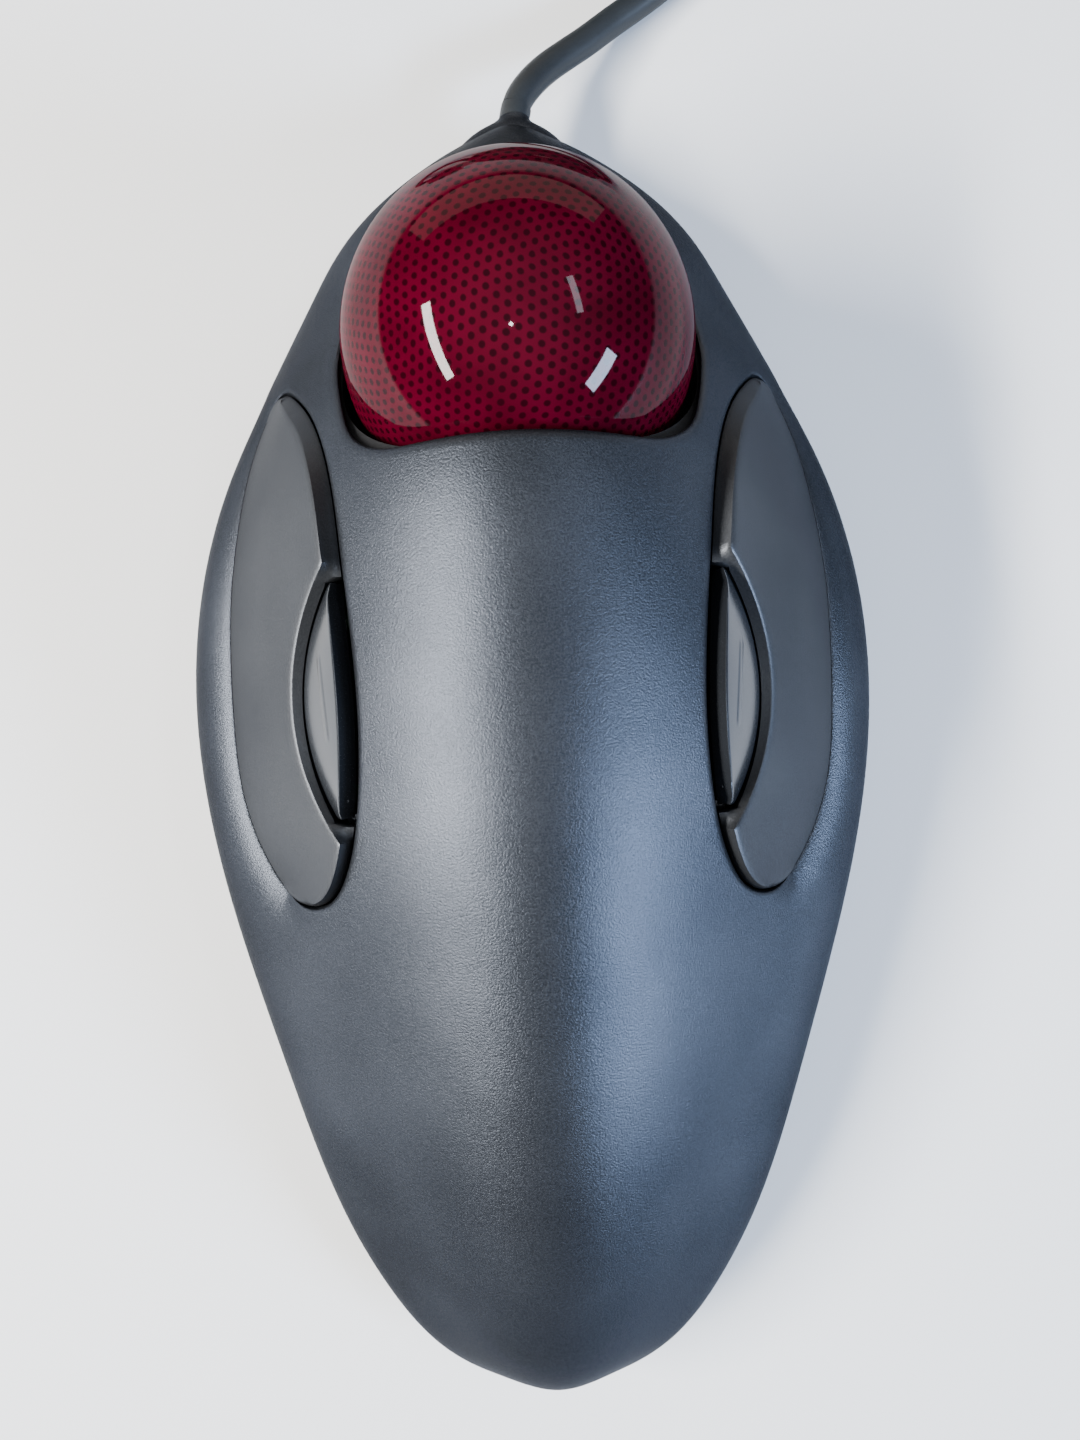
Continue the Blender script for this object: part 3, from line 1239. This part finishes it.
def ball_material():
    """Deep crimson under clear resin, with a lattice of near-black dots."""
    material, tree, shader = blank_material("ball_crimson", {
        "Coat Weight": 0.26, "Coat Roughness": 0.035, "Coat IOR": 1.45, "Specular IOR Level": 0.0,
        "Roughness": 0.4})
    uv = new_node(tree, "ShaderNodeUVMap", uv_map="dots").outputs["UV"]
    apart = new_node(tree, "ShaderNodeSeparateXYZ", {"Vector": uv})

    def rest(socket, offset):
        """Distance to the nearest whole number, after a shift."""
        moved = calc(tree, "ADD", socket, offset)
        return calc(tree, "SUBTRACT", moved, calc(tree, "ROUND", moved))

    tall = math.sqrt(3.0)
    upright = calc(tree, "DIVIDE", apart.outputs["Y"], tall)
    gaps = []
    for offset in (0.0, 0.5):
        dx = rest(apart.outputs["X"], offset)
        dy = calc(tree, "MULTIPLY", rest(upright, offset), tall)
        joined = new_node(tree, "ShaderNodeCombineXYZ", {"X": dx, "Y": dy}).outputs["Vector"]
        length = new_node(tree, "ShaderNodeVectorMath", {0: joined}, operation="LENGTH")
        gaps.append(length.outputs["Value"])
    coords = object_coords(tree)
    wobble = calc(tree, "MULTIPLY_ADD", noise(tree, coords, 1.1, 1.0), 0.10, -0.05)
    edge = calc(tree, "ADD", calc(tree, "MINIMUM", *gaps), wobble)
    between = new_node(tree, "ShaderNodeMapRange", {"Value": edge, "From Min": 0.19,
                                                    "From Max": 0.35, "To Min": 0.0, "To Max": 1.0},
                       interpolation_type="SMOOTHSTEP").outputs["Result"]
    crimson = ramp(tree, noise(tree, coords, 6.0, 2.0), (0.035, 0.0003, 0.0045),
                   (0.054, 0.0005, 0.0072))
    mix = new_node(tree, "ShaderNodeMix", {"Factor": between, "A": (0.013, 0.0003, 0.0022, 1.0),
                                           "B": crimson}, data_type="RGBA")
    tree.links.new(mix.outputs["Result"], shader.inputs["Base Color"])
    return material


def woven_material(name, low, high):
    """Fine woven strap: two crossing rows of threads."""
    material, tree, shader = blank_material(name, {"Roughness": 0.85, "Sheen Weight": 0.3})
    coords = object_coords(tree)
    rows = [new_node(tree, "ShaderNodeTexWave", {"Vector": coords, "Scale": 900.0,
                                                 "Distortion": 0.4, "Detail": 1.0},
                     bands_direction=axis).outputs["Fac"] for axis in ("X", "Z")]
    cross = calc(tree, "MULTIPLY", *rows)
    tree.links.new(ramp(tree, cross, low, high, 0.1, 0.8), shader.inputs["Base Color"])
    raise_grain(tree, shader, cross, 0.5, 0.0001)
    return material


# Slot: darker and lighter colour, roughness, grain in mm, relief, colour patches in mm, the rest
FINISHES = {
    "casing_satin": ((0.034, 0.038, 0.046), (0.070, 0.077, 0.091), (0.32, 0.44), 0.22, 0.6, 26.0,
                     {"Metallic": 0.85, "Specular IOR Level": 0.1,
                      "Specular Tint": (0.22, 0.23, 0.25, 1.0)}),
    "base_black": ((0.012, 0.013, 0.015), (0.024, 0.025, 0.028), (0.48, 0.62), 0.35, 0.35, 30.0,
                   {}),
    "button_satin": ((0.046, 0.049, 0.055), (0.072, 0.076, 0.083), (0.36, 0.48), 0.2, 0.25, 22.0,
                     {"Metallic": 0.75, "Specular IOR Level": 0.2,
                      "Specular Tint": (0.3, 0.31, 0.33, 1.0)}),
    "small_button_gloss": ((0.028, 0.032, 0.039), (0.048, 0.053, 0.062), (0.20, 0.28), 0.16, 0.08,
                           14.0, {"Metallic": 0.7, "Coat Weight": 0.15, "Coat Roughness": 0.12}),
    "cup_black": ((0.010, 0.010, 0.011), (0.020, 0.020, 0.021), (0.5, 0.65), 0.3, 0.2, 18.0,
                  {"Specular IOR Level": 0.05}),
    "bearing_ceramic": ((0.72, 0.71, 0.67), (0.82, 0.81, 0.78), (0.08, 0.14), 0.2, 0.02, 1.5, {}),
    "window_tinted": ((0.20, 0.015, 0.025), (0.28, 0.025, 0.035), (0.05, 0.1), 0.5, 0.02, 4.0,
                      {"Transmission Weight": 0.6}),
    "board_green": ((0.012, 0.085, 0.035), (0.022, 0.125, 0.050), (0.35, 0.5), 0.9, 0.1, 12.0, {}),
    "chip_black": ((0.010, 0.010, 0.011), (0.020, 0.020, 0.022), (0.45, 0.6), 0.2, 0.2, 4.0, {}),
    "switch_plastic": ((0.020, 0.020, 0.022), (0.034, 0.034, 0.036), (0.38, 0.5), 0.3, 0.12, 5.0,
                       {}),
    "steel": ((0.48, 0.48, 0.49), (0.62, 0.62, 0.63), (0.22, 0.36), 0.12, 0.1, 4.0,
              {"Metallic": 1.0}),
    "contact_metal": ((0.66, 0.42, 0.18), (0.78, 0.52, 0.26), (0.25, 0.4), 0.15, 0.08, 3.0,
                      {"Metallic": 1.0}),
    "foot_rubber": ((0.014, 0.014, 0.015), (0.026, 0.026, 0.027), (0.72, 0.88), 0.25, 0.4, 5.0, {}),
    "cord_jacket": ((0.010, 0.012, 0.014), (0.017, 0.020, 0.023), (0.42, 0.56), 0.22, 0.15, 9.0,
                    {"Specular IOR Level": 0.3}),
    "label_foil": ((0.42, 0.42, 0.43), (0.52, 0.52, 0.53), (0.4, 0.5), 0.25, 0.08, 20.0,
                   {"Metallic": 0.6}),
}


# ---- assembly

finishes = {slot: grained(slot, *look) for slot, look in FINISHES.items()}
finishes["ball_red"] = ball_material()
replaced = set()
slot_of = {row["node"]: row["material_slot"] for row in frame["record"]["subparts"]}


def place(thing, slot, body, *nodes):
    """Gives a piece its finish and body, and lets it stand for CAD nodes."""
    thing.data.materials.append(finishes[slot])
    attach(thing, body)
    if nodes:
        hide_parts(*nodes)
        replaced.update(nodes)
    return thing


cord = place(cable(), "cord_jacket", "casing", "usb_cable", "cable_coil", "cable_tail")
tie = mesh_object("coil_tie", [coil_tie()])
tie.data.materials.append(woven_material("tie_weave", (0.010, 0.010, 0.011), (0.035, 0.035, 0.038)))
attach(tie, "casing")
relief = place(mesh_object("strain_relief_sleeve", strain_relief_parts()), "cord_jacket", "casing",
               "strain_relief")
boot = place(mesh_object("plug_grip", plug_boot_parts()), "cord_jacket", "casing", "plug_boot")

place(mesh_object("upper_casing", upper_casing_parts() + [nose_flare()]), "casing_satin", "casing",
      "top_shell")
place(mesh_object("socket_lining", [socket_skirt()]), "cup_black", "casing")
place(mesh_object("lower_casing", lower_casing_parts()), "base_black", "casing", "base_shell")
place(ball_object(), "ball_red", "ball", "trackball")
for side, word in ((-1, "left"), (1, "right")):
    parts = [on_side(part, side) for part in main_button_parts()]
    place(mesh_object(f"{word}_wing_button", parts), "button_satin", f"{word}_main_key",
          f"{word}_main_button")
    parts = [on_side(part, side) for part in small_button_parts()]
    place(mesh_object(f"{word}_moon_button", parts), "small_button_gloss", f"{word}_small_key",
          f"{word}_small_button")

for name, thing in frame["nodes"].items():
    if name not in replaced:
        for material_slot in thing.material_slots:
            material_slot.material = finishes[slot_of[name]]


# ---- floor and light

def make_floor():
    half = 1.6
    floor = bpy.data.meshes.new("floor")
    corners = [(-half, -half, 0.0), (half, -half, 0.0), (half, half, 0.0), (-half, half, 0.0)]
    floor.from_pydata(corners, [], [[0, 1, 2, 3]])
    material, tree, shader = blank_material("floor_pale", {"Roughness": 0.7,
                                                           "Specular IOR Level": 0.2})
    drift = noise(tree, object_coords(tree), 300.0)
    tree.links.new(ramp(tree, drift, (0.78, 0.78, 0.785), (0.80, 0.80, 0.80)),
                   shader.inputs["Base Color"])
    floor.materials.append(material)
    thing = add_object("floor", floor)


def soft_light(name, place_mm, size_mm, power, colour):
    """Rectangular lamp aimed at the casing."""
    data = bpy.data.lights.new(name, "AREA")
    data.shape = "RECTANGLE"
    data.size, data.size_y = (v * MM for v in size_mm)
    data.energy = power
    data.color = colour
    lamp = add_object(name, data)
    lamp.location = [v * MM for v in place_mm]
    aim = lamp.location.copy()
    aim.negate()
    lamp.rotation_euler = aim.to_track_quat("-Z", "Y").to_euler()


def make_world(horizon, zenith):
    """Even studio surroundings, brighter overhead; both are given as colours."""
    world = bpy.data.worlds.new("studio")
    world.use_nodes = True
    tree = world.node_tree
    background = tree.nodes["Background"]
    coords = new_node(tree, "ShaderNodeTexCoord")
    split = new_node(tree, "ShaderNodeSeparateXYZ", {"Vector": coords.outputs["Generated"]})
    mix = ramp(tree, split.outputs["Z"], horizon, zenith, 0.45, 1.0)
    tree.links.new(mix, background.inputs["Color"])
    background.inputs["Strength"].default_value = 1.0
    bpy.context.scene.world = world


# Lamp: place and size in millimetres, watts, colour
LAMPS = {
    "left_long": ((-580.0, -90.0, 470.0), (560.0, 80.0), 21.0, (1.0, 0.98, 0.94)),
    "right_high": ((390.0, 150.0, 580.0), (240.0, 50.0), 0.8, (0.80, 0.88, 1.0)),
    "right_low": ((580.0, -290.0, 360.0), (300.0, 110.0), 10.5, (0.56, 0.72, 1.0)),
    "front_wide": ((-40.0, 700.0, 170.0), (1100.0, 240.0), 1.4, (1.0, 0.86, 0.72)),
    "ceiling_spot": ((-40.0, -60.0, 700.0), (26.0, 26.0), 0.5, (1.0, 1.0, 1.0)),
}

make_floor()
for name, lamp in LAMPS.items():
    soft_light(name, *lamp)
make_world((0.06, 0.061, 0.063), (0.62, 0.64, 0.67))
